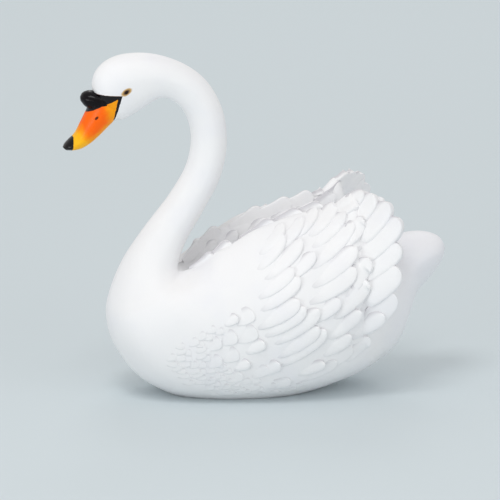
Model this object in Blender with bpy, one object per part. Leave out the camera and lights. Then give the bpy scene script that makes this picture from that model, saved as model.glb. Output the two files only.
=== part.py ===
"""Garden swan figurine: one cast piece with raised wings and carved feathers.

Run with: blender --background --python part.py
Metres, +Z up. The swan faces -X, and the XZ plane is its plane of symmetry. The origin is on
the flat foot that the figure stands on.

The head, neck, breast, wings, back and tail are one loft through cross-sections. Each section
runs from a point on the belly to a point on the back, so the neck's sections fan round the
notch behind the neck and become the breast's with no seam. Bill, knob, eye and feathers are
closed shapes that a Boolean union joins to the loft. Only the left wing's feathers are drawn,
and a Mirror makes the right half of the figure.
"""

import math
from collections import namedtuple

import bmesh
import bpy
import numpy as np
from mathutils import Matrix, Vector

MM = 0.001
MERGE_DISTANCE = 0.00001

# A section of a loft, in millimetres. belly and back are its ends (x, z) on the plane of
# symmetry, half_width is at its widest point, and fullness is how far up that point lies.
# edge is a wing's top edge: its distance from the plane of symmetry and its rise over the back.
Section = namedtuple("Section", "back belly half_width fullness edge", defaults=(0.5, None))

HEAD = [
    Section((-151, 306), (-142, 295), 7),
    Section((-160, 314), (-137, 285.6), 13.5),
    Section((-159, 328), (-130.5, 282.4), 17.5, 0.55),
    Section((-150.5, 340), (-122.5, 286), 19.5, 0.58),
    Section((-136.5, 347.3), (-113.5, 290.8), 20.5, 0.58),
    Section((-118.6, 349.6), (-104.5, 296.4), 20.5, 0.56),
    Section((-100.2, 348.2), (-97, 300.8), 19.5, 0.53),
]
NECK = [
    Section((-82, 343), (-90.5, 302.9), 18.5),
    Section((-64.2, 334.4), (-84, 302), 18),
    Section((-48.9, 322.7), (-77.2, 298), 18),
    Section((-29.3, 290.7), (-65.4, 283.6), 18),
    Section((-24, 254.3), (-60.1, 260), 18),
    Section((-30.2, 220.6), (-64.6, 233.5), 18.2),
    Section((-48, 186), (-81.8, 203.3), 19.2),
    Section((-67.5, 151.8), (-107.3, 170.6), 22.5),
    Section((-72.3, 139.5), (-118.6, 154.8), 26),
]
BREAST = [
    Section((-74.2, 132), (-128.6, 138.8), 31),
    Section((-74.2, 129.5), (-137.4, 119.5), 38, 0.52),
    Section((-73.5, 128), (-143.6, 100), 46, 0.55),
]
SHOULDER = [
    Section((-72, 126.5), (-145.6, 80), 54, 0.58, (26, 4)),
    Section((-69.5, 125.5), (-142, 60), 60, 0.61, (29, 10)),
    Section((-65.5, 124.5), (-132, 40), 65, 0.63, (32, 17)),
    Section((-59.5, 123), (-115, 19), 69, 0.65, (35, 23)),
    Section((-50.5, 121), (-88, 2), 74, 0.66, (37, 30)),
]
WING = [
    Section((-33, 118.5), (-52, -8), 80, 0.7, (37, 38.5)),
    Section((-9, 115.5), (-16, -11), 87, 0.75, (36, 53.5)),
    Section((20, 112.5), (20, -10), 91.5, 0.8, (33, 65.5)),
    Section((50, 112.5), (50, -5), 92.5, 0.82, (30, 73)),
    Section((78, 116), (78, 3), 90.5, 0.8, (31, 75)),
    Section((98, 121), (99, 10), 83, 0.74, (37, 82)),
]
RUMP = [
    Section((110, 126), (114, 16), 72, 0.68, (40, 40)),
    Section((119, 131), (126, 21), 61, 0.62),
    Section((130, 138.5), (139, 29.5), 54, 0.58),
    Section((141, 144.5), (152, 46), 47.5, 0.56),
]
TAIL = [
    Section((152.5, 148.8), (160.5, 70), 42, 0.56),
    Section((164, 150.8), (167, 89), 37.5, 0.58),
    Section((176, 151.2), (178, 102), 32.5, 0.58),
    Section((187, 149), (188, 113.5), 25, 0.55),
    Section((194.5, 144.8), (195, 122), 15),
    Section((198.5, 138), (198.5, 131), 5),
]
# Where the wing's outer face would run on behind the trunk: the flight feathers follow it.
WING_END = Section((137, 128), (137, 28), 90.5, 0.77, (74, 77))
WING_EDGE_THICKNESS = 9
FOOT_HEIGHT = 0

BILL = [
    Section((-150, 316), (-128, 284.6), 15),
    Section((-161, 304.5), (-138, 282), 15),
    Section((-167, 293), (-147, 274), 13.8),
    Section((-173, 281), (-155.5, 266), 12.6),
    Section((-179, 270), (-164.5, 259.2), 11.6),
    Section((-185, 264.5), (-173.5, 254.8), 10.4),
    Section((-189, 260), (-181.5, 253.8), 8.5),
    Section((-190.5, 257), (-187, 254), 4.5),
]
KNOB = [
    Section((-172.5, 308), (-172.2, 303.5), 3),
    Section((-170.2, 311.5), (-169, 299), 8),
    Section((-163.5, 313.8), (-162, 294), 11.8, 0.55),
    Section((-155.5, 312.6), (-154.5, 291), 14.2, 0.6),
    Section((-147, 310.5), (-147, 293), 15.6, 0.64),
    Section((-139, 308), (-139, 298), 13),
]
EYE_CENTRE = (-129.6, -18.4, 314.6)
EYE_RADII = (4.2, 2.4, 3.4)

# A feather of the left wing. root and tip are the ends (x, z) of its spine, and half_width is
# across its vane. Rows run from the smooth shoulder to the back of the wing.
Feather = namedtuple("Feather", "root tip half_width")

MARGINAL_COVERTS = [
    Feather((-14, 151), (24, 176), 9),
    Feather((-19, 137), (22, 168), 9.5),
    Feather((-47, 89), (-30, 95), 6.5),
    Feather((-28, 61), (-4, 69), 8),
    Feather((-37, 42), (-18, 48), 7),
    Feather((-13, 36), (12, 46), 8.5),
]
LESSER_COVERTS = [
    Feather((1, 155), (44, 181), 9),
    Feather((-14, 130), (39, 164), 9.5),
    Feather((13, 131), (50, 153), 8.5),
    Feather((-20, 115), (27, 140), 9.5),
    Feather((-20, 103), (32, 132), 10),
    Feather((-22, 87), (30, 111), 10.5),
    Feather((-17, 77), (36, 104), 10),
    Feather((-8, 67), (50, 101), 9.5),
    Feather((-4, 53), (50, 83), 10),
    Feather((-2, 42), (57, 80), 10),
]
MEDIAN_COVERTS = [
    Feather((19, 164), (60, 188), 8.5),
    Feather((36, 167), (80, 193), 10),
    Feather((35, 157), (87, 187), 10),
    Feather((30, 139), (92, 178), 10.5),
    Feather((31, 125), (92, 157), 11),
    Feather((28, 112), (89, 138), 12),
    Feather((34, 90), (71, 110), 9),
]
GREATER_COVERTS = [
    Feather((64, 152), (102, 184), 10),
    Feather((67, 110), (104, 147), 10.5),
    Feather((52, 92), (102, 125), 11),
    Feather((48, 70), (93, 96), 9.5),
    Feather((46, 53), (83, 72), 9.5),
    Feather((24, 34), (58, 44), 8),
]
FLIGHT_FEATHERS = [
    Feather((55, 177), (107, 207), 10),
    Feather((74, 166), (115, 206), 12),
    Feather((80, 155), (127, 200), 12.5),
    Feather((84, 142), (135, 186), 13),
    Feather((87, 127), (134, 161), 12),
    Feather((80, 100), (131, 139), 15),
    Feather((74, 70), (118, 91), 10),
]
# Feathers that stand up in the middle of the wing's top edge.
EDGE_FEATHERS = [
    Feather((-66, 128), (-45, 148), 6),
    Feather((-50, 138), (-27, 159), 7),
    Feather((-14, 157), (17, 178), 8),
    Feather((14, 170), (46, 186), 8),
    Feather((38, 178), (68, 191), 8),
]
SPINE_BOW = 0.13
# Stations along a feather: share of its length, share of its half width, crown's height over
# the wing. It starts under the wing's face and lifts toward a round tip.
STATIONS = [(0, 0.55, -1.6), (0.34, 0.95, 0.8), (0.72, 1, 2.2), (0.91, 0.82, 3), (0.99, 0.42, 2.9)]
# A feather's section: share of the half width toward the lower edge, and height over the crown
# for the four upper points or over the wing for the two buried ones.
VANE = [(-1, -2.7), (-0.3, -1.1), (0.55, 0), (1, -0.4)]
BURIED = [(0.85, -5), (-0.8, -6)]

SHARP_ANGLE = math.radians(40)
SHELL_WHITE = (0.86, 0.86, 0.85, 1)
SHELL_ROUGHNESS = 0.5


def smooth_rows(rows, knots, samples):
    """Rows of points with a smooth curve through them, and so many samples in each span."""
    rows = np.asarray(rows, float)
    spans = np.diff(knots)
    slopes = np.diff(rows, axis=0) / spans.reshape((-1,) + (1,) * (rows.ndim - 1))
    tangents = np.concatenate([slopes[:1], slopes])
    for i in range(1, len(rows) - 1):
        before, after = spans[i - 1], spans[i]
        tangents[i] = (slopes[i - 1] * after + slopes[i] * before) / (before + after)
    fine = []
    for i, (span, steps) in enumerate(zip(spans, samples)):
        for t in np.arange(steps) / steps:
            near = (2 * t**3 - 3 * t**2 + 1) * rows[i] + (t**3 - 2 * t**2 + t) * span * tangents[i]
            far = (3 * t**2 - 2 * t**3) * rows[i + 1] + (t**3 - t**2) * span * tangents[i + 1]
            fine.append(near + far)
    fine.append(rows[-1])
    return np.array(fine)


def chord_knots(rows, power):
    steps = np.diff(np.asarray(rows, float), axis=0)
    lengths = np.linalg.norm(steps, axis=-1)
    if lengths.ndim > 1:
        lengths = lengths.mean(axis=1)
    return np.concatenate([[0], np.cumsum(lengths**power)])


def left_outline(section):
    """Eight guide points from the belly round the left side to the back, as (x, y, z)."""
    back, belly = np.array(section.back), np.array(section.belly)
    height = np.linalg.norm(back - belly)
    width, widest = section.half_width, section.fullness * height

    def on_oval(degrees):
        turn = math.radians(degrees)
        reach = widest if degrees <= 90 else height - widest
        return width * math.sin(turn), widest - reach * math.cos(turn)

    if section.edge is None:
        outline = [on_oval(degrees) for degrees in (0, 44, 90, 118, 138, 150, 163, 180)]
    else:
        edge, rise = section.edge
        top = height + rise
        inner = edge - WING_EDGE_THICKNESS
        outline = [
            on_oval(0),
            (0.75 * width, 0.27 * widest),
            on_oval(90),
            (width - 0.22 * (width - edge), (widest + top) / 2),
            (edge, top),
            (inner, top - 0.1 * rise),
            (0.86 * inner, height + 0.22 * rise),
            on_oval(180),
        ]
    up = (back - belly) / height
    return [(belly[0] + up[0] * v, -y, belly[1] + up[1] * v) for y, v in outline]


def loft_rings(sections, along, around):
    """Closed rings of points through the sections: along gives each span's samples."""
    net = np.array([left_outline(s) for s in sections])
    rings = []
    for row in smooth_rows(net, chord_knots(net, 1), along):
        loop = np.concatenate([row, row[-2:0:-1] * (1, -1, 1)])
        wrapped = np.concatenate([loop[-2:], loop, loop[:3]])
        fine = smooth_rows(wrapped, chord_knots(wrapped, 0.5), [around] * (len(wrapped) - 1))
        rings.append(fine[2 * around :][: len(loop) * around])
    return np.array(rings)


def wing_guides():
    """The left wing's outer guide points in each of its sections, from the belly to its edge."""
    return np.array([left_outline(s)[:5] for s in SHOULDER + WING + [WING_END]])


def wing_face(x, z):
    """The point of the left wing's outer face at (x, z), from the loft's own guide points."""
    points = wing_guides()
    outline = [[np.interp(x, points[:, i, 0], points[:, i, k]) for k in (1, 2)] for i in range(5)]
    shoulder, top = np.array(outline[3]), np.array(outline[4])
    outline.append(top + (top - shoulder) * (1.25, 1))
    curve = smooth_rows(outline, chord_knots(outline, 0.5), [6] * 5)
    return np.array((x, np.interp(z, curve[:, 1], curve[:, 0]), z))


def edge_face(x, z):
    """The point at (x, z) of an upright sheet in the middle of the left wing's top edge."""
    tops = wing_guides()[:, 4]
    return np.array((x, np.interp(x, tops[:, 0], tops[:, 1]) + WING_EDGE_THICKNESS / 2, z))


def feather_rings(feather, face):
    """Rings of one feather: a bowed blade that lies on a face and lifts toward its tip."""
    root, tip = np.array(feather.root), np.array(feather.tip)
    run = tip - root
    bend = (root + tip) / 2 + np.array((run[1], -run[0])) * SPINE_BOW

    def spine(t):
        return face(*(root * (1 - t) ** 2 + bend * 2 * t * (1 - t) + tip * t**2))

    rings = []
    for share, width, crown in STATIONS:
        here = spine(share)
        along = spine(share + 0.02) - spine(share - 0.02)
        fall = face(here[0], here[2] - 1) - face(here[0], here[2] + 1)
        out = np.cross(fall, along)
        out /= np.linalg.norm(out)
        down = np.cross(along, out) / np.linalg.norm(along)
        half = width * feather.half_width
        outline = [(b * half, crown + n) for b, n in VANE] + [(b * half, n) for b, n in BURIED]
        rings.append([here + down * b + out * n for b, n in outline])
    return rings


def skin_mesh(bm, rings):
    """Adds the closed skin over rings of points, with a pole at each end."""
    grid = [[bm.verts.new(Vector(p) * MM) for p in ring] for ring in rings]
    count = len(grid[0])
    faces = []
    for near, far in zip(grid, grid[1:]):
        for i in range(count):
            j = (i + 1) % count
            faces.append(bm.faces.new((near[i], near[j], far[j], far[i])))
    for ring in (grid[0], grid[-1]):
        pole = bm.verts.new(sum((v.co for v in ring), Vector()) / count)
        for i in range(count):
            faces.append(bm.faces.new((ring[i], ring[(i + 1) % count], pole)))
    bmesh.ops.recalc_face_normals(bm, faces=faces)


def add_object(name, bm, material, collection):
    mesh = bpy.data.meshes.new(name)
    bm.to_mesh(mesh)
    bm.free()
    mesh.materials.append(material)
    mesh.shade_smooth()
    mesh.set_sharp_from_angle(angle=SHARP_ANGLE)
    obj = bpy.data.objects.new(name, mesh)
    collection.objects.link(obj)
    return obj


def add_loft(name, rings, material, collection):
    bm = bmesh.new()
    skin_mesh(bm, rings)
    return add_object(name, bm, material, collection)


def add_body(material):
    """The loft from the face to the tail, cut level at the foot."""
    front, middle, rear = HEAD + NECK + BREAST, SHOULDER + WING, RUMP + TAIL
    spans = [2] * len(front) + [1] * len(middle) + [2] * (len(rear) - 1)
    bm = bmesh.new()
    skin_mesh(bm, loft_rings(front + middle + rear, spans, 2))
    everything = bm.verts[:] + bm.edges[:] + bm.faces[:]
    foot = Vector((0, 0, FOOT_HEIGHT * MM))
    cut = bmesh.ops.bisect_plane(bm, geom=everything, plane_co=foot, plane_no=(0, 0, 1), clear_inner=True)
    rim = [e for e in cut["geom_cut"] if isinstance(e, bmesh.types.BMEdge)]
    bmesh.ops.contextual_create(bm, geom=rim)
    bmesh.ops.recalc_face_normals(bm, faces=bm.faces)
    return add_object("swan", bm, material, bpy.context.scene.collection)


def add_details(material):
    """The shapes that are joined to the body: bill, knob, eye and the left wing's feathers."""
    details = bpy.data.collections.new("details")
    bpy.context.scene.collection.children.link(details)
    add_loft("bill", loft_rings(BILL, [2] * (len(BILL) - 1), 1), material, details)
    add_loft("knob", loft_rings(KNOB, [2] * (len(KNOB) - 1), 2), material, details)
    eye = bmesh.new()
    place = Matrix.Translation(Vector(EYE_CENTRE) * MM) @ Matrix.Diagonal((*(Vector(EYE_RADII) * MM), 1))
    bmesh.ops.create_uvsphere(eye, u_segments=10, v_segments=6, radius=1, matrix=place)
    add_object("eye", eye, material, details)
    rows = [MARGINAL_COVERTS, LESSER_COVERTS, MEDIAN_COVERTS, GREATER_COVERTS, FLIGHT_FEATHERS]
    for feather in (f for row in rows for f in row):
        add_loft("feather", feather_rings(feather, wing_face), material, details)
    for feather in EDGE_FEATHERS:
        add_loft("edge_feather", feather_rings(feather, edge_face), material, details)
    for obj in details.objects:
        obj.hide_render = True
        obj.display_type = "WIRE"
    return details


def main():
    for old in list(bpy.data.objects):
        bpy.data.objects.remove(old)
    resin = bpy.data.materials.new("painted_resin")
    resin.use_nodes = True
    shader = resin.node_tree.nodes["Principled BSDF"]
    shader.inputs["Base Color"].default_value = SHELL_WHITE
    shader.inputs["Roughness"].default_value = SHELL_ROUGHNESS
    body = add_body(resin)
    union = body.modifiers.new("carving", "BOOLEAN")
    union.operation = "UNION"
    union.solver = "EXACT"
    union.operand_type = "COLLECTION"
    union.collection = add_details(resin)
    mirror = body.modifiers.new("right_half", "MIRROR")
    mirror.use_axis = (False, True, False)
    mirror.use_bisect_axis = (False, True, False)
    mirror.use_bisect_flip_axis = (False, True, False)
    mirror.use_clip = True
    mirror.bisect_threshold = MERGE_DISTANCE
    mirror.merge_threshold = MERGE_DISTANCE


main()
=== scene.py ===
"""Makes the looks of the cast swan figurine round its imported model.

Run as a script in Blender 4.5. The shapes' tables and the lengths used with them are in
millimetres. The paint, the finish, the panel's sizes and the stage are in metres. All are in the
model's own frame: the swan faces -X, +Z is up, and the XZ plane is its plane of symmetry.
"""

import math
from collections import namedtuple
from functools import cache

import bmesh
import bpy
import numpy as np
from bpy.props import FloatProperty, FloatVectorProperty, IntProperty, PointerProperty
from mathutils import Matrix, Vector


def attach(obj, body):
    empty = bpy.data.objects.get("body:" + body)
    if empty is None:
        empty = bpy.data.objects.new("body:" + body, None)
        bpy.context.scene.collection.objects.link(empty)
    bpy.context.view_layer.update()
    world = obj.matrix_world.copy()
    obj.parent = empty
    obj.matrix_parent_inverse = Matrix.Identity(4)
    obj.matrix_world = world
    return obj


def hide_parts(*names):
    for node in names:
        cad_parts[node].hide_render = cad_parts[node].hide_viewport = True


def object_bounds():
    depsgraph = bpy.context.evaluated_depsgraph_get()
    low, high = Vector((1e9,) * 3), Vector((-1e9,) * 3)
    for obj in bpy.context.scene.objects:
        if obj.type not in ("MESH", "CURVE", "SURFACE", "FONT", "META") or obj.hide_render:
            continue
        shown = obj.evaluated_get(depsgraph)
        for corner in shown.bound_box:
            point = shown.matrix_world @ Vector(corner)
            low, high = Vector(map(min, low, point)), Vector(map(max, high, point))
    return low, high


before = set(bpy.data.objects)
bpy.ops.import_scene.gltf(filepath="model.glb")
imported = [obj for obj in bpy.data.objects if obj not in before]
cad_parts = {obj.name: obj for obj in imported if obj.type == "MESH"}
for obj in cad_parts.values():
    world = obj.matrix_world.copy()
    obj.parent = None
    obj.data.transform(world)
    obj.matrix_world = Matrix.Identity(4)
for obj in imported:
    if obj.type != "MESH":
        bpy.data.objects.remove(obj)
CAD_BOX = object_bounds()

bl_info = {
    "name": "Cast Swan Figurine",
    "version": (1, 0, 0),
    "blender": (4, 5, 0),
    "location": "3D View > Sidebar > Swan",
    "description": "Builds a garden swan with carved feathers, painted bill and studio stage",
    "category": "Add Mesh",
}

NODE = "swan"
MM = 0.001

# A section of a loft, in millimetres. belly and back are its ends (x, z) on the plane of
# symmetry, half_width is at its widest point, and fullness is how far up that point lies.
# edge is a wing's top edge: its distance from the plane of symmetry and its rise over the back.
Section = namedtuple("Section", "back belly half_width fullness edge", defaults=(0.5, None))

HEAD_AND_NECK = [
    Section((-151, 306), (-142, 295), 7),
    Section((-160, 314), (-137, 285.6), 13.5),
    Section((-159, 328), (-130.5, 282.4), 17.5, 0.55),
    Section((-150.5, 340), (-122.5, 286), 19.5, 0.58),
    Section((-136.5, 347.3), (-113.5, 290.8), 20.5, 0.58),
    Section((-118.6, 349.6), (-104.5, 296.4), 20.5, 0.56),
    Section((-100.2, 348.2), (-97, 300.8), 19.5, 0.53),
    Section((-82, 343), (-90.5, 302.9), 18.5),
    Section((-64.2, 334.4), (-84, 302), 18),
    Section((-48.9, 322.7), (-77.2, 298), 18),
    Section((-29.3, 290.7), (-65.4, 283.6), 18),
    Section((-24, 254.3), (-60.1, 260), 18),
    Section((-30.2, 220.6), (-64.6, 233.5), 18.2),
    Section((-48, 186), (-81.8, 203.3), 19.2),
    Section((-67.5, 151.8), (-107.3, 170.6), 22.5),
    Section((-72.3, 139.5), (-118.6, 154.8), 26),
    Section((-74.2, 132), (-128.6, 138.8), 31),
    Section((-74.2, 129.5), (-137.4, 119.5), 38, 0.52),
    Section((-73.5, 128), (-143.6, 100), 46, 0.55),
]
SHOULDER_AND_WING = [
    Section((-72, 126.5), (-145.6, 80), 54, 0.58, (26, 4)),
    Section((-69.5, 125.5), (-142, 60), 60, 0.61, (29, 10)),
    Section((-65.5, 124.5), (-132, 40), 65, 0.63, (32, 17)),
    Section((-59.5, 123), (-115, 19), 69, 0.65, (35, 23)),
    Section((-50.5, 121), (-88, 2), 74, 0.66, (37, 30)),
    Section((-33, 118.5), (-52, -8), 80, 0.7, (37, 38.5)),
    Section((-9, 115.5), (-16, -11), 87, 0.75, (36, 53.5)),
    Section((20, 112.5), (20, -10), 91.5, 0.8, (33, 65.5)),
    Section((50, 112.5), (50, -5), 92.5, 0.82, (30, 73)),
    Section((78, 116), (78, 3), 90.5, 0.8, (31, 75)),
    Section((98, 121), (99, 10), 83, 0.74, (37, 82)),
]
RUMP_AND_TAIL = [
    Section((110, 126), (114, 16), 72, 0.68, (40, 40)),
    Section((119, 131), (126, 21), 61, 0.62),
    Section((130, 138.5), (139, 29.5), 54, 0.58),
    Section((141, 144.5), (152, 46), 47.5, 0.56),
    Section((152.5, 148.8), (160.5, 70), 42, 0.56),
    Section((164, 150.8), (167, 89), 37.5, 0.58),
    Section((176, 151.2), (178, 102), 32.5, 0.58),
    Section((187, 149), (188, 113.5), 25, 0.55),
    Section((194.5, 144.8), (195, 122), 15),
    Section((198.5, 138), (198.5, 131), 5),
]
# Where the wing's outer face would run on to behind the trunk: the flight feathers follow it.
WING_END = Section((137, 128), (137, 28), 90.5, 0.77, (74, 77))
WING_EDGE_THICKNESS = 9
# The turns of an oval section's guide points round it, from the belly to the back, in degrees.
OVAL_TURNS = (0, 44, 90, 118, 138, 150, 163, 180)
# A wing section's guide points between its widest point, its edge and the back, as shares.
LOW_REACH = 0.75
LOW_RISE = 0.27
SHOULDER_DRAW = 0.22
LIP_DROP = 0.1
INNER_REACH = 0.86
INNER_RISE = 0.22

BILL = [
    Section((-150, 316), (-128, 284.6), 15),
    Section((-161, 304.5), (-138, 282), 15),
    Section((-167, 293), (-147, 274), 13.8),
    Section((-173, 281), (-155.5, 266), 12.6),
    Section((-179, 270), (-164.5, 259.2), 11.6),
    Section((-185, 264.5), (-173.5, 254.8), 10.4),
    Section((-189, 260), (-181.5, 253.8), 8.5),
    Section((-190.5, 257), (-187, 254), 4.5),
]
KNOB = [
    Section((-172.5, 308), (-172.2, 303.5), 3),
    Section((-170.2, 311.5), (-169, 299), 8),
    Section((-163.5, 313.8), (-162, 294), 11.8, 0.55),
    Section((-155.5, 312.6), (-154.5, 291), 14.2, 0.6),
    Section((-147, 310.5), (-147, 293), 15.6, 0.64),
    Section((-139, 308), (-139, 298), 13),
]
EYE_CENTRE = (-129.6, -18.4, 314.6)

# The painted face, in metres on the head's side view. An edge runs through (x, z) with a slant.
Edge = namedtuple("Edge", "x z slant")
FACE_EDGE = Edge(-0.1368, 0.3038, 0.19)
LORES_EDGE = Edge(-0.150, 0.3012, 0.5)
BROW_EDGE = Edge(-0.136, 0.3108, -0.06)
NAIL_EDGE = Edge(-0.1815, 0.260, 0.1)
FACE_LINE_FOOT = (0.2838, 0.2848)
FACE_LINE_NARROW = 0.286
FACE_LINE_SPREAD = 0.055
FACE_LINE_HALF = 0.0007
LORES_FRONT = -0.1795
EYE_RING_LOWEST = 0.3
PAINT_EDGE = 0.00025
BRUSH_WOBBLE = 0.0012
BILL_ROOT = (-0.140, 0.300)
BILL_WAY = (-0.745, -0.667)
BILL_BLOTCH = 0.010
ORANGE_START = (0.004, 0.018)
ORANGE_END = (0.034, 0.047)
ORANGE_UNDERSIDE = (-0.013, -0.005)
YELLOW_START = (0.036, 0.052)
EYE_TURN = (0.82, 0.57)
EYE_RING_RADII = (0.0058, 0.0032)
NOSTRIL = (-0.1587, 0.2881)
NOSTRIL_TURN = (0.7, 0.71)
NOSTRIL_DEPTH = 0.0008
# The finish: the cooler, darker white of the mottling and of the painted shade toward the tail's end, the
# heights of marks as shares of the grain's, the barbs on a feather, and how strongly painted shade greys its
# creases.
TAIL_SHADE_STRETCH = (0.118, 0.165)
COOL_SHARES = (0.955, 0.96, 0.99)
BRUSH_HEIGHT = 1.6
BARBS = 26.0
BARB_SLANT = 5.0
BARB_HEIGHT = 0.35
CARVED_SHADE = 0.72
SOFT_SHADE = 0.45
RESIN_ROUGHNESS = 0.5
GLOSS_ROUGHNESS = 0.24
GLOSS_DENTS = 0.00004
# How fine each noise is, and how the brush marks stretch upward.
CLOUD_NOISE = 28.0
GRAIN_NOISE = 1400.0
BRUSH_NOISE = 260.0
BRUSH_STRETCH = (1, 1, 0.12)
WOBBLE_NOISE = 300.0
BLOTCH_NOISE = 130.0
BARB_NOISE = 90.0
WORN_NOISE = 220.0
DENT_NOISE = 240.0

# A feather of the left wing. root and tip are the ends (x, z) of its spine, and half_width is
# across its vane. Rows run from the smooth shoulder to the back of the wing.
Feather = namedtuple("Feather", "root tip half_width")

MARGINAL_COVERTS = [
    Feather((-14, 151), (24, 176), 9),
    Feather((-19, 137), (22, 168), 9.5),
    Feather((-47, 89), (-30, 95), 6.5),
    Feather((-28, 61), (-4, 69), 8),
    Feather((-37, 42), (-18, 48), 7),
    Feather((-13, 36), (12, 46), 8.5),
]
LESSER_COVERTS = [
    Feather((1, 155), (44, 181), 9),
    Feather((-14, 130), (39, 164), 9.5),
    Feather((13, 131), (50, 153), 8.5),
    Feather((-20, 115), (27, 140), 9.5),
    Feather((-20, 103), (32, 132), 10),
    Feather((-22, 87), (30, 111), 10.5),
    Feather((-17, 77), (36, 104), 10),
    Feather((-8, 67), (50, 101), 9.5),
    Feather((-4, 53), (50, 83), 10),
    Feather((-2, 42), (57, 80), 10),
]
MEDIAN_COVERTS = [
    Feather((19, 164), (60, 188), 8.5),
    Feather((36, 167), (80, 193), 10),
    Feather((35, 157), (87, 187), 10),
    Feather((30, 139), (92, 178), 10.5),
    Feather((31, 125), (92, 157), 11),
    Feather((28, 112), (89, 138), 12),
    Feather((34, 90), (71, 110), 9),
]
GREATER_COVERTS = [
    Feather((64, 152), (102, 184), 10),
    Feather((67, 110), (104, 147), 10.5),
    Feather((52, 92), (102, 125), 11),
    Feather((48, 70), (93, 96), 9.5),
    Feather((46, 53), (83, 72), 9.5),
    Feather((24, 34), (58, 44), 8),
]
FLIGHT_FEATHERS = [
    Feather((55, 177), (107, 207), 10),
    Feather((74, 166), (115, 206), 12),
    Feather((80, 155), (127, 200), 12.5),
    Feather((84, 142), (135, 186), 13),
    Feather((87, 127), (134, 161), 12),
    Feather((80, 100), (131, 139), 15),
    Feather((74, 70), (118, 91), 10),
]
EDGE_FEATHERS = [
    Feather((-66, 128), (-45, 148), 6),
    Feather((-50, 138), (-27, 159), 7),
    Feather((-14, 157), (17, 178), 8),
    Feather((14, 170), (46, 186), 8),
    Feather((38, 178), (68, 191), 8),
]
# Low feathers on the wing's inner face, seen over the near wing. Their face looks inward.
LINING_FEATHERS = [
    Feather((-58, 124), (-30, 147), 6),
    Feather((-40, 130), (-8, 156), 6.5),
    Feather((-22, 138), (20, 168), 7),
    Feather((2, 150), (44, 177), 7),
    Feather((26, 160), (68, 185), 7),
    Feather((48, 166), (92, 189), 7.5),
    Feather((10, 140), (56, 166), 7),
    Feather((36, 150), (82, 175), 7),
]
FLIGHT_LINING = [
    Feather((78, 156), (131, 193), 8),
    Feather((72, 166), (124, 202), 8),
    Feather((60, 172), (112, 205), 9),
]
# Low feathers between the carved ones at the foot of the wing.
FLANK_FEATHERS = [
    Feather((-64, 66), (-46, 70), 8),
    Feather((-62, 47), (-45, 51), 8),
    Feather((-50, 73), (-31, 76), 9),
    Feather((-48, 54), (-29, 58), 9),
    Feather((-34, 92), (-15, 100), 9),
    Feather((-34, 75), (-12, 82), 10),
    Feather((-42, 30), (-24, 34), 8),
    Feather((-20, 33), (1, 41), 8),
    Feather((-2, 19), (25, 26), 8),
    Feather((33, 26), (71, 44), 8),
    Feather((57, 39), (86, 58), 9),
    Feather((71, 42), (104, 66), 9),
    Feather((82, 65), (127, 112), 12),
]
# Rows of small scales on the lower breast and flank: height, first and last root.
DOWN_ROWS = [
    (80, -62, -48),
    (73, -78, -50),
    (66, -90, -62),
    (59, -97, -62),
    (52, -101, -60),
    (45, -101, -46),
    (38, -97, -40),
    (31, -90, -40),
    (24, -80, -8),
    (17, -68, 30),
    (10, -52, 52),
]
DOWN_STEP = 9
DOWN_LENGTH = 11
DOWN_WIDTH = 4.8
DOWN_RISE = 1.5
# Two waves make the scales uneven: their turns from scale to scale and from row to row, how far
# they move a root, and how much they change a tip's rise and a scale's width.
DOWN_SWAY = (3.7, 2.3)
DOWN_BOB = 5.1
DOWN_STRAY = (1.2, 1.3)
DOWN_TILT = 2.5
DOWN_SPREAD = 0.5

# A feather's spine: its bow as a share of its length, its points, how they crowd toward the tip,
# and the stretch on which its direction is measured.
SPINE_BOW = 0.13
SPINE_POINTS = 26
SPINE_CROWDING = 1.5
SPINE_STEP = 0.02
# A feather's outline: its width at the root, the share of its length at which it is widest, the
# share that the round tip takes, and the least width of the tip's end.
ROOT_WIDTH = 0.8
WIDEST_AT = 0.55
ROUND_TIP = 0.3
TIP_END = 0.02
# A feather's relief: how soon it climbs from its root, where across the vane its fall starts, the
# tiny ring that the tree sweeps and then spreads, and how softly its top side turns to its hidden one.
CLIMB_POWER = 0.9
FALL_START = 0.55
PROFILE_RADIUS = 0.0001
SIDE_SOFTNESS = 0.3
# The hidden sides of neighbours lie at slightly different depths, so that none share a plane.
DEPTH_STEPS = 4
DEPTH_STEP = 0.03
# Where feathers leave the wing's wall, and the stretch before it over which they do so.
SEAT_END = 100
SEAT_FADE = 10
# Where the inner face passes from the wall to the flight feathers' blades, and their thickness.
WALL_END = (90, 106)
BLADE_THICKNESS = 6.8
# How far the greater coverts stand out over the flight feathers, and the stretch for reaching it.
GREATER_LIFT = 2.2
LIFT_STRETCH = (84, 100)
# How far a wing's face runs on past its top edge, and a place for rays to start beside the swan.
EDGE_RUN_ON = 1.25
BESIDE_SWAN = -200
# Samples between guide points, and the angle past which an edge is shaded sharp.
SAMPLES_ALONG = 8
BODY_AROUND = 9
BILL_AROUND = 5
FACE_SAMPLES = 6
SHARP_ANGLE = math.radians(60)


def srgb(red, green, blue):
    """A colour as it is seen, 0 to 255, in the linear light that materials use."""
    shares = [value / 255 for value in (red, green, blue)]
    return tuple(((s + 0.055) / 1.055) ** 2.4 if s > 0.04045 else s / 12.92 for s in shares)


EYE_SHADOW = srgb(72, 36, 10)
WORN_BLACK = srgb(30, 24, 30)
WORN_BROWN = srgb(70, 34, 10)

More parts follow.
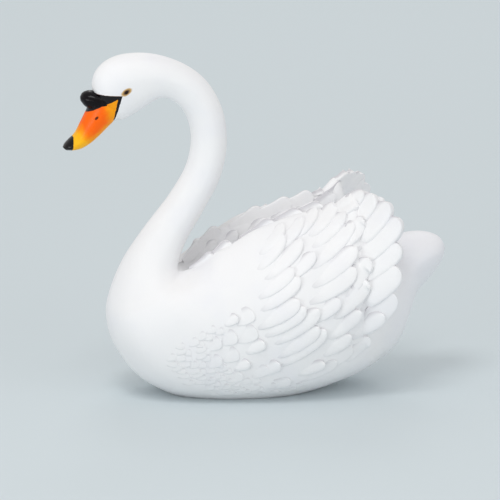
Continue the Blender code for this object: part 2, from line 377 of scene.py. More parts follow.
# The stage. The camera looks at the side that the photograph shows, far off with a long lens.
VIEW_AZIMUTH = math.radians(-12)
VIEW_ELEVATION = math.radians(14)
VIEW_DISTANCE = 13.889
VIEW_HEIGHT = 0.1417
VIEW_LENS = 1000
FLOOR_REACH = 20
SKY_COLOUR = (1.0, 0.99, 0.985, 1)
SKY_STRENGTH = 0.65
LAMP_AIM = Vector((0, 0, 0.15))
Lamp = namedtuple("Lamp", "name place size power")
LAMPS = (
    Lamp("key", (-0.8, -1.2, 2.7), 1.0, 20),
    Lamp("fill", (1.9, -2.4, 0.6), 2.0, 17),
    Lamp("low", (-2.3, -1.8, 0.1), 1.6, 31),
    Lamp("rim", (0.6, 2.2, 1.8), 1.2, 9),
)


class SwanSizes(bpy.types.PropertyGroup):
    crown: FloatProperty(
        name="Feather crown",
        description="Height of a feather's tip over the wing",
        default=0.0031,
        unit="LENGTH",
    )
    root_depth: FloatProperty(
        name="Root depth",
        description="Depth of a feather's root under the wing's face",
        default=0.0018,
        unit="LENGTH",
    )
    burial: FloatProperty(
        name="Feather burial",
        description="Depth of a feather's hidden side under the wing's face",
        default=0.0052,
        unit="LENGTH",
    )
    lean: FloatProperty(
        name="Feather lean",
        description="Fall of a feather from its lower edge to its upper one",
        default=0.0029,
        unit="LENGTH",
    )
    bulge: FloatProperty(
        name="Feather bulge",
        description="Rise of the middle of a feather's section",
        default=0.0009,
        unit="LENGTH",
    )
    lining_relief: FloatProperty(
        name="Lining relief",
        description="Share of the full relief on the wing's inner face",
        default=0.35,
        subtype="FACTOR",
    )
    flank_relief: FloatProperty(
        name="Flank relief",
        description="Share of the full relief between the lowest feathers",
        default=0.35,
        subtype="FACTOR",
    )
    down_relief: FloatProperty(
        name="Down relief",
        description="Share of the full relief on the lower breast",
        default=0.16,
        subtype="FACTOR",
    )
    profile_points: IntProperty(
        name="Profile points",
        description="Points round a feather's section",
        default=28,
        min=8,
    )
    nostril: FloatProperty(
        name="Nostril",
        description="Length of the nostril slit",
        default=0.0042,
        unit="LENGTH",
    )
    pupil: FloatProperty(
        name="Pupil",
        description="Radius of the eye's pupil",
        default=0.0023,
        unit="LENGTH",
    )
    grain: FloatProperty(
        name="Resin grain",
        description="Height of the cast resin's fine grain",
        default=0.00006,
        unit="LENGTH",
    )


class SwanColours(bpy.types.PropertyGroup):
    resin: FloatVectorProperty(
        name="Resin white",
        description="Painted white of the body",
        subtype="COLOR",
        default=srgb(240, 240, 241),
    )
    # Painted shade: the grey that the feathers' creases, upper edges and roots are darkened toward.
    crease_shade: FloatVectorProperty(
        name="Crease grey",
        description="Grey that gathers between the feathers",
        subtype="COLOR",
        default=srgb(188, 186, 192),
    )
    orange: FloatVectorProperty(
        name="Bill orange",
        description="Middle of the bill",
        subtype="COLOR",
        default=srgb(255, 104, 0),
    )
    amber: FloatVectorProperty(
        name="Bill amber",
        description="Base of the bill",
        subtype="COLOR",
        default=srgb(250, 160, 4),
    )
    yellow: FloatVectorProperty(
        name="Bill yellow",
        description="Bill behind the nail",
        subtype="COLOR",
        default=srgb(255, 188, 22),
    )
    black: FloatVectorProperty(
        name="Gloss black",
        description="Knob, lores and nail",
        subtype="COLOR",
        default=srgb(6, 2, 6),
    )
    eye: FloatVectorProperty(
        name="Eye brown",
        description="The eye's pupil",
        subtype="COLOR",
        default=srgb(30, 10, 2),
    )
    eye_ring: FloatVectorProperty(
        name="Eye ring",
        description="Ring round the pupil",
        subtype="COLOR",
        default=srgb(200, 156, 78),
    )
    floor: FloatVectorProperty(
        name="Floor",
        description="Studio floor",
        subtype="COLOR",
        default=srgb(208, 218, 222),
    )


# Lofts and feather spines


def smooth_rows(rows, knots, samples):
    """Rows of points with a smooth curve through them, and so many samples in each span."""
    rows = np.asarray(rows, float)
    spans = np.diff(knots)
    slopes = np.diff(rows, axis=0) / spans.reshape((-1,) + (1,) * (rows.ndim - 1))
    tangents = np.concatenate([slopes[:1], slopes])
    for i in range(1, len(rows) - 1):
        before, after = spans[i - 1], spans[i]
        tangents[i] = (slopes[i - 1] * after + slopes[i] * before) / (before + after)
    fine = []
    for i, (span, steps) in enumerate(zip(spans, samples)):
        for t in np.arange(steps) / steps:
            near = (2 * t**3 - 3 * t**2 + 1) * rows[i] + (t**3 - 2 * t**2 + t) * span * tangents[i]
            far = (3 * t**2 - 2 * t**3) * rows[i + 1] + (t**3 - t**2) * span * tangents[i + 1]
            fine.append(near + far)
    fine.append(rows[-1])
    return np.array(fine)


def chord_knots(rows, power):
    steps = np.diff(np.asarray(rows, float), axis=0)
    lengths = np.linalg.norm(steps, axis=-1)
    if lengths.ndim > 1:
        lengths = lengths.mean(axis=1)
    return np.concatenate([[0], np.cumsum(lengths**power)])


def left_outline(section):
    """Eight guide points from the belly round the left side to the back, as (x, y, z)."""
    back, belly = np.array(section.back), np.array(section.belly)
    height = np.linalg.norm(back - belly)
    width, widest = section.half_width, section.fullness * height

    def on_oval(degrees):
        turn = math.radians(degrees)
        reach = widest if degrees <= 90 else height - widest
        return width * math.sin(turn), widest - reach * math.cos(turn)

    if section.edge is None:
        outline = [on_oval(degrees) for degrees in OVAL_TURNS]
    else:
        edge, rise = section.edge
        top = height + rise
        inner = edge - WING_EDGE_THICKNESS
        outline = [
            on_oval(0),
            (LOW_REACH * width, LOW_RISE * widest),
            on_oval(90),
            (width - SHOULDER_DRAW * (width - edge), (widest + top) / 2),
            (edge, top),
            (inner, top - LIP_DROP * rise),
            (INNER_REACH * inner, height + INNER_RISE * rise),
            on_oval(180),
        ]
    up = (back - belly) / height
    return [(belly[0] + up[0] * v, -y, belly[1] + up[1] * v) for y, v in outline]


def loft_rings(sections, around):
    """Closed rings through the sections, with so many samples between guide points round them."""
    net = np.array([left_outline(s) for s in sections])
    rings = []
    for row in smooth_rows(net, chord_knots(net, 1), [SAMPLES_ALONG] * (len(sections) - 1)):
        loop = np.concatenate([row, row[-2:0:-1] * (1, -1, 1)])
        wrapped = np.concatenate([loop[-2:], loop, loop[:3]])
        fine = smooth_rows(wrapped, chord_knots(wrapped, 0.5), [around] * (len(wrapped) - 1))
        rings.append(fine[2 * around :][: len(loop) * around])
    return np.array(rings)


@cache
def wing_guides():
    """The left wing's outer guide points in each of its sections, from the belly to its edge."""
    return np.array([left_outline(s)[:7] for s in SHOULDER_AND_WING + [WING_END]])


def wing_face(x, z):
    """The point of the left wing's outer face at (x, z), from the loft's own guide points."""
    points = wing_guides()
    outline = [[np.interp(x, points[:, i, 0], points[:, i, k]) for k in (1, 2)] for i in range(5)]
    shoulder, top = np.array(outline[3]), np.array(outline[4])
    outline.append(top + (top - shoulder) * (EDGE_RUN_ON, 1))
    curve = smooth_rows(outline, chord_knots(outline, 0.5), [FACE_SAMPLES] * (len(outline) - 1))
    return np.array((x, np.interp(z, curve[:, 1], curve[:, 0]), z))


def edge_face(x, z):
    """The point at (x, z) of an upright sheet in the middle of the left wing's top edge."""
    tops = wing_guides()[:, 4]
    return np.array((x, np.interp(x, tops[:, 0], tops[:, 1]) + WING_EDGE_THICKNESS / 2, z))


def seat(point, start, side):
    """How far a point of a sheet is from the body's skin, less so by the wing's top and back."""
    x, y, z = point
    tops = wing_guides()[:, 4]
    room = min(SEAT_END - x, np.interp(x, tops[:, 0], tops[:, 2]) - z)
    hold = min(1, max(0, room / SEAT_FADE))
    body = bpy.data.objects["cast_body"]
    struck, hit = body.ray_cast(Vector((x, start, z)) * MM, Vector((0, side, 0)))[:2]
    return (hit.y / MM - y) * hold if struck and hold else 0


def outer_face(x, z):
    """The wing's face at (x, z), or the body's skin where it bulges out between sections."""
    point = wing_face(x, z)
    return point + (0, min(0, seat(point, BESIDE_SWAN, 1)), 0)


def greater_face(x, z):
    """The outer face, raised so that the greater coverts lie over the roots of the flight feathers."""
    return outer_face(x, z) - (0, GREATER_LIFT * np.interp(x, LIFT_STRETCH, (0, 1)), 0)


def lining_face(x, z):
    """The point at (x, z) of the left wing's inner face, which leans in toward its foot."""
    points = wing_guides()
    (low_y, low_z), (top_y, top_z) = (
        [np.interp(x, points[:, i, 0], points[:, i, k]) for k in (1, 2)] for i in (6, 5)
    )
    point = np.array((x, top_y + (low_y - top_y) * (top_z - z) / (top_z - low_z), z))
    return point + (0, seat(point, 0, -1), 0)


def flight_lining_face(x, z):
    """The point at (x, z) from the wing wall's inner face to the flight feathers' inner side."""
    beyond = np.interp(x, WALL_END, (0, 1))
    return lining_face(x, z) * (1 - beyond) + (wing_face(x, z) + (0, BLADE_THICKNESS, 0)) * beyond


def skin_face(x, z):
    """The point at (x, z) of the cast body's left side."""
    body = bpy.data.objects["cast_body"]
    hit = body.ray_cast(Vector((x, BESIDE_SWAN, z)) * MM, Vector((0, 1, 0)))[1]
    return np.array(hit) / MM


def down_scales():
    """The small scales of the lower breast and flank, in staggered rows with uneven tips."""
    scales = []
    for row, (z, first, last) in enumerate(DOWN_ROWS):
        for i, x in enumerate(np.arange(first + DOWN_STEP / 2 * (row % 2), last, DOWN_STEP)):
            sway = math.sin(DOWN_SWAY[0] * i + DOWN_SWAY[1] * row)
            root = (x + DOWN_STRAY[0] * sway, z + DOWN_STRAY[1] * math.cos(DOWN_BOB * i + row))
            tip = (root[0] + DOWN_LENGTH + sway, root[1] + DOWN_RISE + DOWN_TILT * sway)
            scales.append(Feather(root, tip, DOWN_WIDTH + DOWN_SPREAD * sway))
    return scales


def feather_spine(feather, face, turn=1):
    """Points of a spine on a face, each with normal, way across the vane, half width and share."""
    root, tip = np.array(feather.root), np.array(feather.tip)
    run = tip - root
    bend = (root + tip) / 2 + np.array((run[1], -run[0])) * SPINE_BOW
    points = []

    def on_bow(t):
        return face(*(root * (1 - t) ** 2 + bend * 2 * t * (1 - t) + tip * t**2))

    for share in 1 - (1 - np.linspace(0, 1, SPINE_POINTS)) ** SPINE_CROWDING:
        here, before, after = on_bow(share), on_bow(share - SPINE_STEP), on_bow(share + SPINE_STEP)
        along = after - before
        fall = face(here[0], here[2] - 1) - face(here[0], here[2] + 1)
        out = np.cross(fall, along) * turn
        out /= np.linalg.norm(out)
        down = np.cross(along, out) * turn / np.linalg.norm(along)
        swell = ROOT_WIDTH + (1 - ROOT_WIDTH) * math.sin(math.pi / 2 * min(1, share / WIDEST_AT))
        close = max(0, (share - 1 + ROUND_TIP) / ROUND_TIP)
        width = swell * math.sqrt(max(TIP_END, 1 - close**3))
        points.append((here * MM, out, down, feather.half_width * width * MM, share))
    return points


# Meshes


def new_object(name, mesh):
    obj = bpy.data.objects.new(name, mesh)
    bpy.context.scene.collection.objects.link(obj)
    return obj


def skin_mesh(bm, rings):
    """Adds the closed skin over rings of points in millimetres, with a pole at each end."""
    grid = [[bm.verts.new(Vector(p) * MM) for p in ring] for ring in rings]
    count = len(grid[0])
    faces = []
    for near, far in zip(grid, grid[1:]):
        for i in range(count):
            j = (i + 1) % count
            faces.append(bm.faces.new((near[i], near[j], far[j], far[i])))
    for ring in (grid[0], grid[-1]):
        pole = bm.verts.new(sum((v.co for v in ring), Vector()) / count)
        for i in range(count):
            faces.append(bm.faces.new((ring[i], ring[(i + 1) % count], pole)))
    bmesh.ops.recalc_face_normals(bm, faces=faces)


def mesh_from(bm, name, material):
    mesh = bpy.data.meshes.new(name)
    bm.to_mesh(mesh)
    bm.free()
    mesh.shade_smooth()
    mesh.materials.append(material)
    return mesh


def place_on_swan(obj):
    """Makes a finished piece part of the one casting, and trims it to the casting's own box."""
    low, high = CAD_BOX
    for vertex in obj.data.vertices:
        vertex.co = Vector(min(max(v, a), b) for v, a, b in zip(vertex.co, low, high))
    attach(obj, "root")
    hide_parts(NODE)


# Materials


class Wire:
    """A shader socket that arithmetic works on: each operator adds a Math node."""

    def __init__(self, shader, socket):
        self.shader, self.socket = shader, socket

    def math(self, operation, *others):
        values = dict(enumerate((self, *others)))
        return self.shader.add("ShaderNodeMath", {"operation": operation}, values)

    def __add__(self, other):
        return self.math("ADD", other)

    __radd__ = __add__

    def __sub__(self, other):
        return self.math("SUBTRACT", other)

    def __rsub__(self, other):
        return (self * -1) + other

    def __mul__(self, other):
        return self.math("MULTIPLY", other)

    def __truediv__(self, other):
        return self.math("DIVIDE", other)

    def __pow__(self, other):
        return self.math("POWER", other)

    def rising(self, low, high):
        """0 below low, 1 over high and a soft step between them."""
        settings = {"interpolation_type": "SMOOTHSTEP"}
        values = {"Value": self, "From Min": low, "From Max": high}
        return self.shader.add("ShaderNodeMapRange", settings, values)


class Shader:
    """A material whose nodes are added by type, settings and socket values."""

    def __init__(self, name, **constants):
        self.material = bpy.data.materials.new(name)
        self.material.use_nodes = True
        self.tree = self.material.node_tree
        self.surface = self.tree.nodes["Principled BSDF"]
        for socket, value in constants.items():
            self.surface.inputs[socket.replace("_", " ")].default_value = value

    def add(self, kind, settings, values, output=0):
        node = self.tree.nodes.new(kind)
        for setting, value in settings.items():
            setattr(node, setting, value)
        for socket, value in values.items():
            self.feed(node.inputs[socket], value)
        return Wire(self, node.outputs[output])

    def feed(self, socket, value):
        if isinstance(value, Wire):
            self.tree.links.new(value.socket, socket)
        elif hasattr(socket.default_value, "__len__") and len(socket.default_value) == 4:
            socket.default_value = (*value[:3], 1)
        else:
            socket.default_value = value

    def place(self):
        """A point on the object, with its x and its z."""
        point = self.add("ShaderNodeTexCoord", {}, {}, "Object")
        x, z = (self.add("ShaderNodeSeparateXYZ", {}, {0: point}, axis) for axis in "XZ")
        return point, x, z

    def attribute(self, name):
        return self.add("ShaderNodeAttribute", {"attribute_name": name}, {}, "Fac")

    def noise(self, point, scale, detail, stretch=(1, 1, 1)):
        moved = self.add("ShaderNodeVectorMath", {"operation": "MULTIPLY"}, {0: point, 1: stretch})
        return self.add("ShaderNodeTexNoise", {}, {"Vector": moved, "Scale": scale, "Detail": detail}, "Fac")

    def mix(self, share, first, second):
        node = self.tree.nodes.new("ShaderNodeMix")
        node.data_type = "RGBA"
        for index, value in ((0, share), (6, first), (7, second)):
            self.feed(node.inputs[index], value)
        return Wire(self, node.outputs[2])

    def finish(self, colour, roughness=None, coat=None, height=None):
        self.feed(self.surface.inputs["Base Color"], colour)
        if roughness is not None:
            self.feed(self.surface.inputs["Roughness"], roughness)
        if coat is not None:
            self.feed(self.surface.inputs["Coat Weight"], coat)
        if height is not None:
            bump = self.add("ShaderNodeBump", {}, {"Strength": 1.0, "Distance": 1.0, "Height": height})
            self.feed(self.surface.inputs["Normal"], bump)
        return self.material


def resin_finish(shader, point, x):
    """The white's slight mottling, a painted shade on the tail and the height of its grain and brush marks.
    """
    sizes, colours = bpy.context.scene.swan_sizes, bpy.context.scene.swan_colours
    white = tuple(colours.resin)
    cool = tuple(value * share for value, share in zip(white, COOL_SHARES))
    clouds = shader.noise(point, CLOUD_NOISE, 2.0).rising(0.42, 0.75)
    # Painted shade: toward the tail's end the white turns cooler and darker.
    tail = x.rising(*TAIL_SHADE_STRETCH)
    colour = shader.mix((clouds * 0.5 + tail * 0.8).math("MINIMUM", 1.0), white, cool)
    fine = shader.noise(point, GRAIN_NOISE, 2.0)
    brushed = shader.noise(point, BRUSH_NOISE, 2.0, BRUSH_STRETCH)
    return colour, fine * sizes.grain + brushed * (sizes.grain * BRUSH_HEIGHT)


def below(value, edge=0.0):
    """1 where a wire is under an edge, with the soft rim that a brush leaves."""
    return 1 - value.rising(edge - PAINT_EDGE, edge + PAINT_EDGE)


def over(x, z, edge):
    """How far a point of the head lies over a painted edge that slants."""
    return z - edge.z - (x - edge.x) * edge.slant


def behind(x, z, edge):
    """How far a point of the head lies behind a steep painted edge."""
    return x - edge.x - (z - edge.z) * edge.slant


def black_paint(x, z, wobble, face_line):
    """Where the face line, the lores and the nail are painted black."""
    half_line = (z - FACE_LINE_NARROW) * FACE_LINE_SPREAD + FACE_LINE_HALF
    line = below(face_line.math("ABSOLUTE") - half_line) * z.rising(*FACE_LINE_FOOT)
    lores = below(face_line) * (1 - below(over(x, z, LORES_EDGE) + wobble))
    lores = lores * x.rising(LORES_FRONT, LORES_FRONT + 0.001)
    nail = below(behind(x, z, NAIL_EDGE) + wobble)
    return line.math("MAXIMUM", lores).math("MAXIMUM", nail)


def bill_paint(shader, point, x, z):
    """The bill's colour: amber at its base, orange in its middle and yellow behind the nail."""
    colours = bpy.context.scene.swan_colours
    (root_x, root_z), (way_x, way_z) = BILL_ROOT, BILL_WAY
    along = (x - root_x) * way_x + (z - root_z) * way_z
    across = (x - root_x) * way_z - (z - root_z) * way_x
    patchy = (shader.noise(point, BLOTCH_NOISE, 3.0) - 0.5) * BILL_BLOTCH
    red = (along + across * 0.6 + patchy).rising(*ORANGE_START) * (1 - (along + patchy).rising(*ORANGE_END))
    red = red * (across + patchy * 0.5).rising(*ORANGE_UNDERSIDE)
    bill = shader.mix((along + patchy).rising(*YELLOW_START), tuple(colours.amber), tuple(colours.yellow))
    return shader.mix(red, bill, tuple(colours.orange))


def almond_eye(x, z):
    """How far out a point lies in the eye's slanting almond, whose painted rim is at 1."""
    (eye_x, eye_z), (turn_x, turn_z) = (EYE_CENTRE[0] * MM, EYE_CENTRE[2] * MM), EYE_TURN
    length = ((x - eye_x) * turn_x + (z - eye_z) * turn_z) / EYE_RING_RADII[0]
    height = ((z - eye_z) * turn_x - (x - eye_x) * turn_z) / EYE_RING_RADII[1]
    return (length**2.0 + height**2.0).math("SQRT")


def nostril_slit(x, z):
    """1 in the nostril, with a soft rim."""
    long_radius = bpy.context.scene.swan_sizes.nostril
    (slit_x, slit_z), (turn_x, turn_z) = NOSTRIL, NOSTRIL_TURN
    length = ((x - slit_x) * turn_x + (z - slit_z) * turn_z) / long_radius
    height = ((z - slit_z) * turn_x - (x - slit_x) * turn_z) / (long_radius * 0.5)
    return 1 - (length**2.0 + height**2.0).math("SQRT").rising(0.35, 0.65)


def body_material():
    """White resin with the painted face: orange bill, black lores, face line, nail and eye ring."""
    colours = bpy.context.scene.swan_colours
    shader = Shader("painted_face", Coat_Roughness=0.12, Specular_IOR_Level=0.2)
    point, x, z = shader.place()
    colour, height = resin_finish(shader, point, x)
    wobble = (shader.noise(point, WOBBLE_NOISE, 2.0) - 0.5) * BRUSH_WOBBLE
    face_line = behind(x, z, FACE_EDGE) + wobble
    under_brow = below(over(x, z, BROW_EDGE) + wobble)
    orange = below(face_line) * under_brow
    black = black_paint(x, z, wobble, face_line) * under_brow
    almond = almond_eye(x, z) + wobble * 150.0
    lid = (1 - almond.rising(0.75, 1.25)) * below(z * -1, -EYE_RING_LOWEST)
    ring = shader.mix(almond.rising(0.4, 0.85), EYE_SHADOW, tuple(colours.eye_ring))
    nostril = nostril_slit(x, z)
    paint = shader.mix(orange, colour, bill_paint(shader, point, x, z))
    paint = shader.mix(nostril * 0.9, paint, tuple(colours.black))
    paint = shader.mix(lid * 0.95, paint, ring)
    paint = shader.mix(black, paint, tuple(colours.black))
    roughness = RESIN_ROUGHNESS - orange * 0.14 - black * 0.16
    coat = black * 0.25 + orange * 0.05
    return shader.finish(paint, roughness, coat, height - nostril * NOSTRIL_DEPTH)


def feather_material(name, shade):
    """White resin with barbs that slant from each feather's spine, and painted shade in its creases."""
    scene = bpy.context.scene
    shader = Shader(name, Roughness=RESIN_ROUGHNESS)
    point, x = shader.place()[:2]
    colour, height = resin_finish(shader, point, x)
    along, across, side = (shader.attribute(label) for label in ("along", "across", "height"))
    slant = along * BARBS - across.math("ABSOLUTE") * BARB_SLANT + shader.noise(point, BARB_NOISE, 1.0) * 1.6
    barbs = (slant * (2 * math.pi)).math("SINE") * (scene.swan_sizes.grain * BARB_HEIGHT)
    # Painted shade: grey along the upper edge under the neighbour's lower edge, and at the root under the
    # row before, only on the top side.
    upper_edge_shade = 1 - across.rising(-1.0, -0.3)
    root = (1 - along.rising(0.0, 0.4)) * 0.7
    crease_shade = upper_edge_shade.math("MAXIMUM", root) * side.rising(-0.2, 0.2)
    colour = shader.mix(crease_shade * shade, colour, tuple(scene.swan_colours.crease_shade))
    return shader.finish(colour, None, None, height + barbs)


def gloss_material(name, dark, worn_dark):
    """Glossy dark paint, a little paler where it is worn."""
    shader = Shader(name, Coat_Weight=0.1, Coat_Roughness=0.08, Specular_IOR_Level=0.14)
    point = shader.place()[0]
    worn = shader.noise(point, WORN_NOISE, 3.0).rising(0.5, 0.75)
    colour = shader.mix(worn * 0.3, dark, worn_dark)
    dents = shader.noise(point, DENT_NOISE, 1.0) * GLOSS_DENTS
    return shader.finish(colour, GLOSS_ROUGHNESS + worn * 0.1, None, dents)


# Feather tree


class Tree:
    """A Geometry Nodes tree whose nodes are added by type, settings and socket values."""

    def __init__(self, name, inputs):
        self.group = bpy.data.node_groups.new(name, "GeometryNodeTree")
        self.sockets = {}
        face = self.group.interface
        face.new_socket("Geometry", in_out="INPUT", socket_type="NodeSocketGeometry")
        for label, kind in inputs.items():
            self.sockets[label] = face.new_socket(label, in_out="INPUT", socket_type=kind).identifier
        face.new_socket("Geometry", in_out="OUTPUT", socket_type="NodeSocketGeometry")
        self.start = self.group.nodes.new("NodeGroupInput")
        self.end = self.group.nodes.new("NodeGroupOutput")

    def add(self, kind, settings=None, values=None, output=0):
        node = self.group.nodes.new(kind)
        for setting, value in (settings or {}).items():
            setattr(node, setting, value)
        for socket, value in (values or {}).items():
            if isinstance(value, bpy.types.NodeSocket):
                self.group.links.new(value, node.inputs[socket])
            else:
                node.inputs[socket].default_value = value
        return node.outputs[output]

    def math(self, operation, *values):
        return self.add("ShaderNodeMath", {"operation": operation}, dict(enumerate(values)))

    def scaled(self, vector, factor):
        values = {"Vector": vector, "Scale": factor}
        return self.add("ShaderNodeVectorMath", {"operation": "SCALE"}, values)

    def sum(self, first, second):
        return self.add("ShaderNodeVectorMath", {"operation": "ADD"}, {0: first, 1: second})

    def read(self, name, kind="FLOAT"):
        return self.add("GeometryNodeInputNamedAttribute", {"data_type": kind}, {"Name": name})

    def store(self, geometry, name, value):
        values = {"Geometry": geometry, "Name": name, "Value": value}
        return self.add("GeometryNodeStoreNamedAttribute", {"data_type": "FLOAT"}, values)

    def result(self, geometry, material):
        """Ends the tree in Realize Instances and Set Material."""
        real = self.add("GeometryNodeRealizeInstances", {}, {0: geometry})
        painted = self.add("GeometryNodeSetMaterial", {}, {"Geometry": real, "Material": material})
        self.group.links.new(painted, self.end.inputs[0])

    def grow(self, layout, values):
        """The plain mesh that this tree makes from a layout mesh."""
        maker = new_object("layout", layout)
        modifier = maker.modifiers.new("grow", "NODES")
        modifier.node_group = self.group
        for label, value in values.items():
            modifier[self.sockets[label]] = value
        ready = maker.evaluated_get(bpy.context.evaluated_depsgraph_get())
        mesh = bpy.data.meshes.new_from_object(ready)
        bpy.data.objects.remove(maker)
        return mesh


def feather_tree():
    """Sweeps a section along each spine: a raised lower edge, a low upper one, a buried root."""
    inputs = {label: "NodeSocketFloat" for label in ("Crown", "Root depth", "Burial", "Lean", "Bulge")}
    inputs.update({"Profile points": "NodeSocketInt", "Material": "NodeSocketMaterial"})
    tree = Tree("carved_feather", inputs)
    given = tree.start.outputs
    spines = tree.add("GeometryNodeMeshToCurve", {}, {"Mesh": given["Geometry"]})
    round_profile = {"Resolution": given["Profile points"], "Radius": PROFILE_RADIUS}
    ring = tree.add("GeometryNodeCurvePrimitiveCircle", {"mode": "RADIUS"}, round_profile)
    at = tree.add("GeometryNodeInputPosition")
    parts = [tree.add("ShaderNodeSeparateXYZ", {}, {0: at}, axis) for axis in "XY"]
    across, height = (tree.math("DIVIDE", part, PROFILE_RADIUS) for part in parts)
    ring = tree.store(tree.store(ring, "across", across), "height", height)
    sweep = {"Curve": spines, "Profile Curve": ring, "Fill Caps": True}
    swept = tree.add("GeometryNodeCurveToMesh", {}, sweep)
    across, height = tree.read("across"), tree.read("height")
    along, width = tree.read("along"), tree.read("half_width")
    full_climb = tree.math("ADD", given["Crown"], given["Root depth"])
    climb = tree.math("MULTIPLY", tree.math("POWER", along, CLIMB_POWER), full_climb)
    spine_rise = tree.math("SUBTRACT", climb, given["Root depth"])
    from_start = tree.math("DIVIDE", tree.math("SUBTRACT", across, FALL_START), 1 + FALL_START)
    fall = tree.math("MULTIPLY", tree.math("MINIMUM", from_start, 0.0), given["Lean"])
    arch = tree.math("SUBTRACT", 1.0, tree.math("MULTIPLY", across, across))
    hump = tree.math("MULTIPLY", arch, given["Bulge"])
    top = tree.math("ADD", tree.math("ADD", spine_rise, fall), hump)
    base = tree.math("MULTIPLY", tree.math("MULTIPLY", given["Burial"], tree.read("depth")), -1.0)
    side = tree.add("ShaderNodeMapRange", {}, {0: height, 1: -SIDE_SOFTNESS, 2: SIDE_SOFTNESS})
    out = tree.math("ADD", base, tree.math("MULTIPLY", tree.math("SUBTRACT", top, base), side))
    rise = tree.scaled(tree.read("outward", "FLOAT_VECTOR"), out)
    reach = tree.scaled(tree.read("down", "FLOAT_VECTOR"), tree.math("MULTIPLY", across, width))
    place = tree.sum(tree.read("spine", "FLOAT_VECTOR"), tree.sum(rise, reach))
    placed = tree.add("GeometryNodeSetPosition", {}, {"Geometry": swept, "Position": place})
    smooth = tree.add("GeometryNodeSetShadeSmooth", {}, {"Geometry": placed})
    tree.result(smooth, given["Material"])
    return tree


def spine_layout(rows):
    """A mesh of spine edges that carries what the feather tree reads."""
    points, edges = [], []
    for feathers, face, turn in rows:
        for feather in feathers:
            spine = feather_spine(feather, face, turn)
            first = len(points)
            edges += [(first + i, first + i + 1) for i in range(len(spine) - 1)]
            depth = 1 + DEPTH_STEP * (len(points) // SPINE_POINTS % DEPTH_STEPS)
            points += [(*point, depth) for point in spine]
    mesh = bpy.data.meshes.new("spines")
    mesh.from_pydata([p[0] for p in points], edges, [])
    for name, index in {"spine": 0, "outward": 1, "down": 2}.items():
        data = mesh.attributes.new(name, "FLOAT_VECTOR", "POINT").data
        data.foreach_set("vector", np.ravel([p[index] for p in points]).astype(np.float32))
    for name, index in {"half_width": 3, "along": 4, "depth": 5}.items():
        data = mesh.attributes.new(name, "FLOAT", "POINT").data
        data.foreach_set("value", np.array([p[index] for p in points], np.float32))
    return mesh


def mirrored(mesh, name):
    """The right side's copy of a left side's mesh, with its faces outward again."""
    copy = mesh.copy()
    copy.name = name
    copy.transform(Matrix.Diagonal((1, -1, 1, 1)))
    copy.flip_normals()
    return copy


# Operators


class SWAN_OT_cast_body(bpy.types.Operator):
    """Build the head, neck, breast, wings, back and tail as one smooth skin"""

    bl_idname = "swan.cast_body"
    bl_label = "Cast Body"

    def execute(self, context):
        sections = HEAD_AND_NECK + SHOULDER_AND_WING + RUMP_AND_TAIL
        bm = bmesh.new()
        skin_mesh(bm, loft_rings(sections, BODY_AROUND))
        parts = bm.verts[:] + bm.edges[:] + bm.faces[:]
        plane = {"plane_co": (0, 0, 0), "plane_no": (0, 0, 1)}
        cut = bmesh.ops.bisect_plane(bm, geom=parts, clear_inner=True, **plane)
        rim = [e for e in cut["geom_cut"] if isinstance(e, bmesh.types.BMEdge)]
        bmesh.ops.contextual_create(bm, geom=rim)
        bmesh.ops.recalc_face_normals(bm, faces=bm.faces)
        body = new_object("cast_body", mesh_from(bm, "cast_body", body_material()))
        body.data.set_sharp_from_angle(angle=SHARP_ANGLE)
        place_on_swan(body)
        return {"FINISHED"}


def place_feathers(tree, name, rows, scale, points, material):
    """Grows rows of feathers on the left side, in a share of the full relief, and mirrors them."""
    sizes = bpy.context.scene.swan_sizes
    heights = {"Crown": sizes.crown, "Root depth": sizes.root_depth, "Burial": sizes.burial}
    heights.update({"Lean": sizes.lean, "Bulge": sizes.bulge})
    values = {label: height * scale for label, height in heights.items()}
    values.update({"Profile points": points, "Material": material})
    mesh = tree.grow(spine_layout(rows), values)
    bm = bmesh.new()
    bm.from_mesh(mesh)
    bmesh.ops.recalc_face_normals(bm, faces=bm.faces)
    bm.to_mesh(mesh)
    bm.free()
    mesh.set_sharp_from_angle(angle=SHARP_ANGLE)
    mesh.name = "left_" + name
    place_on_swan(new_object("left_" + name, mesh))
    place_on_swan(new_object("right_" + name, mirrored(mesh, "right_" + name)))


class SWAN_OT_lay_feathers(bpy.types.Operator):
    """Lay the overlapping feathers of both wings and the scales of the lower breast"""

    bl_idname = "swan.lay_feathers"
    bl_label = "Lay Feathers"

    def execute(self, context):
        sizes = context.scene.swan_sizes
        carved = feather_material("carved_feathers", CARVED_SHADE)
        soft = feather_material("soft_feathers", SOFT_SHADE)
        tree = feather_tree()
        outer = [MARGINAL_COVERTS, LESSER_COVERTS, MEDIAN_COVERTS, FLIGHT_FEATHERS]
        rows = [(row, outer_face, 1) for row in outer]
        rows += [(GREATER_COVERTS, greater_face, 1), (EDGE_FEATHERS, edge_face, 1)]
        points = sizes.profile_points
        place_feathers(tree, "wing_feathers", rows, 1.0, points, carved)
        rows = [(LINING_FEATHERS, lining_face, -1), (FLIGHT_LINING, flight_lining_face, -1)]
        place_feathers(tree, "wing_lining", rows, sizes.lining_relief, points, carved)
        rows = [(FLANK_FEATHERS, outer_face, 1)]
        place_feathers(tree, "flank_feathers", rows, sizes.flank_relief, points, soft)
        rows = [(down_scales(), skin_face, 1)]
        place_feathers(tree, "down", rows, sizes.down_relief, points // 2, soft)
        return {"FINISHED"}


class SWAN_OT_shape_bill(bpy.types.Operator):
    """Shape the bill and the black knob at its root"""

    bl_idname = "swan.shape_bill"
    bl_label = "Shape Bill and Knob"

    def execute(self, context):
        painted = bpy.data.materials["painted_face"]
        black = gloss_material("gloss_black", tuple(context.scene.swan_colours.black), WORN_BLACK)
        for name, sections, material in (("bill", BILL, painted), ("knob", KNOB, black)):
            bm = bmesh.new()
            skin_mesh(bm, loft_rings(sections, BILL_AROUND))
            place_on_swan(new_object(name, mesh_from(bm, name, material)))
        return {"FINISHED"}


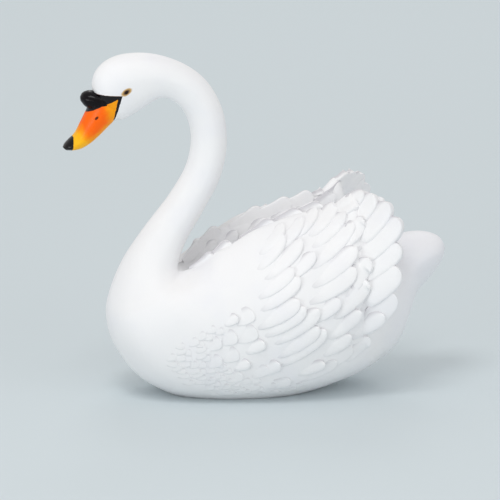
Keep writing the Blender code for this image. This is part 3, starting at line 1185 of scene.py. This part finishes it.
class SWAN_OT_set_eyes(bpy.types.Operator):
    """Set a glossy pupil in each painted eye"""

    bl_idname = "swan.set_eyes"
    bl_label = "Set Eyes"

    def execute(self, context):
        radius = context.scene.swan_sizes.pupil
        material = gloss_material("eye_brown", tuple(context.scene.swan_colours.eye), WORN_BROWN)
        for name, side in (("left_eye", 1), ("right_eye", -1)):
            bm = bmesh.new()
            centre = Vector((EYE_CENTRE[0], EYE_CENTRE[1] * side, EYE_CENTRE[2])) * MM
            shape = Matrix.Translation(centre) @ Matrix.Diagonal((radius, radius * 0.9, radius, 1))
            bmesh.ops.create_uvsphere(bm, u_segments=32, v_segments=16, radius=1, matrix=shape)
            place_on_swan(new_object(name, mesh_from(bm, name, material)))
        return {"FINISHED"}


class SWAN_OT_stage(bpy.types.Operator):
    """Set the plain floor, the soft studio lights and the camera"""

    bl_idname = "swan.stage"
    bl_label = "Set Stage"

    def execute(self, context):
        scene = context.scene
        shader = Shader("studio_floor", Roughness=0.9)
        shader.finish(tuple(scene.swan_colours.floor))
        bm = bmesh.new()
        bmesh.ops.create_grid(bm, x_segments=1, y_segments=1, size=FLOOR_REACH)
        floor = new_object("floor", mesh_from(bm, "floor", shader.material))
        world = scene.world or bpy.data.worlds.new("studio")
        scene.world = world
        world.use_nodes = True
        sky = world.node_tree.nodes["Background"]
        sky.inputs["Color"].default_value = SKY_COLOUR
        sky.inputs["Strength"].default_value = SKY_STRENGTH
        for name, place, size, power in LAMPS:
            lamp = bpy.data.lights.new(name, "AREA")
            lamp.size = size
            lamp.energy = power
            stand = bpy.data.objects.new(name, lamp)
            scene.collection.objects.link(stand)
            stand.location = place
            stand.rotation_euler = (Vector(place) - LAMP_AIM).to_track_quat("Z", "Y").to_euler()
        ahead = Vector((-math.sin(VIEW_AZIMUTH), math.cos(VIEW_AZIMUTH), 0)) * math.cos(VIEW_ELEVATION)
        look = ahead - Vector((0, 0, math.sin(VIEW_ELEVATION)))
        camera = bpy.data.cameras.new("camera")
        camera.lens = VIEW_LENS
        camera.clip_end = 100
        eye = bpy.data.objects.new("camera", camera)
        scene.collection.objects.link(eye)
        eye.location = Vector((0, 0, VIEW_HEIGHT)) - look * VIEW_DISTANCE
        eye.rotation_euler = (-look).to_track_quat("Z", "Y").to_euler()
        scene.camera = eye
        scene.view_settings.view_transform = "Standard"
        return {"FINISHED"}


class SWAN_PT_panel(bpy.types.Panel):
    bl_label = "Swan Figurine"
    bl_idname = "SWAN_PT_panel"
    bl_space_type = "VIEW_3D"
    bl_region_type = "UI"
    bl_category = "Swan"

    def draw(self, context):
        for group in (context.scene.swan_sizes, context.scene.swan_colours):
            for name in group.bl_rna.properties.keys():
                if name not in ("rna_type", "name"):
                    self.layout.prop(group, name)
        for operator in OPERATORS:
            self.layout.operator(operator.bl_idname)


OPERATORS = (SWAN_OT_cast_body, SWAN_OT_lay_feathers, SWAN_OT_shape_bill, SWAN_OT_set_eyes, SWAN_OT_stage)
CLASSES = (SwanSizes, SwanColours, *OPERATORS, SWAN_PT_panel)


def register():
    for cls in CLASSES:
        bpy.utils.register_class(cls)
    bpy.types.Scene.swan_sizes = PointerProperty(type=SwanSizes)
    bpy.types.Scene.swan_colours = PointerProperty(type=SwanColours)


def unregister():
    del bpy.types.Scene.swan_sizes
    del bpy.types.Scene.swan_colours
    for cls in reversed(CLASSES):
        bpy.utils.unregister_class(cls)


def main():
    register()
    bpy.ops.swan.stage()
    bpy.ops.swan.cast_body()
    bpy.ops.swan.lay_feathers()
    bpy.ops.swan.shape_bill()
    bpy.ops.swan.set_eyes()


if __name__ == "__main__":
    main()
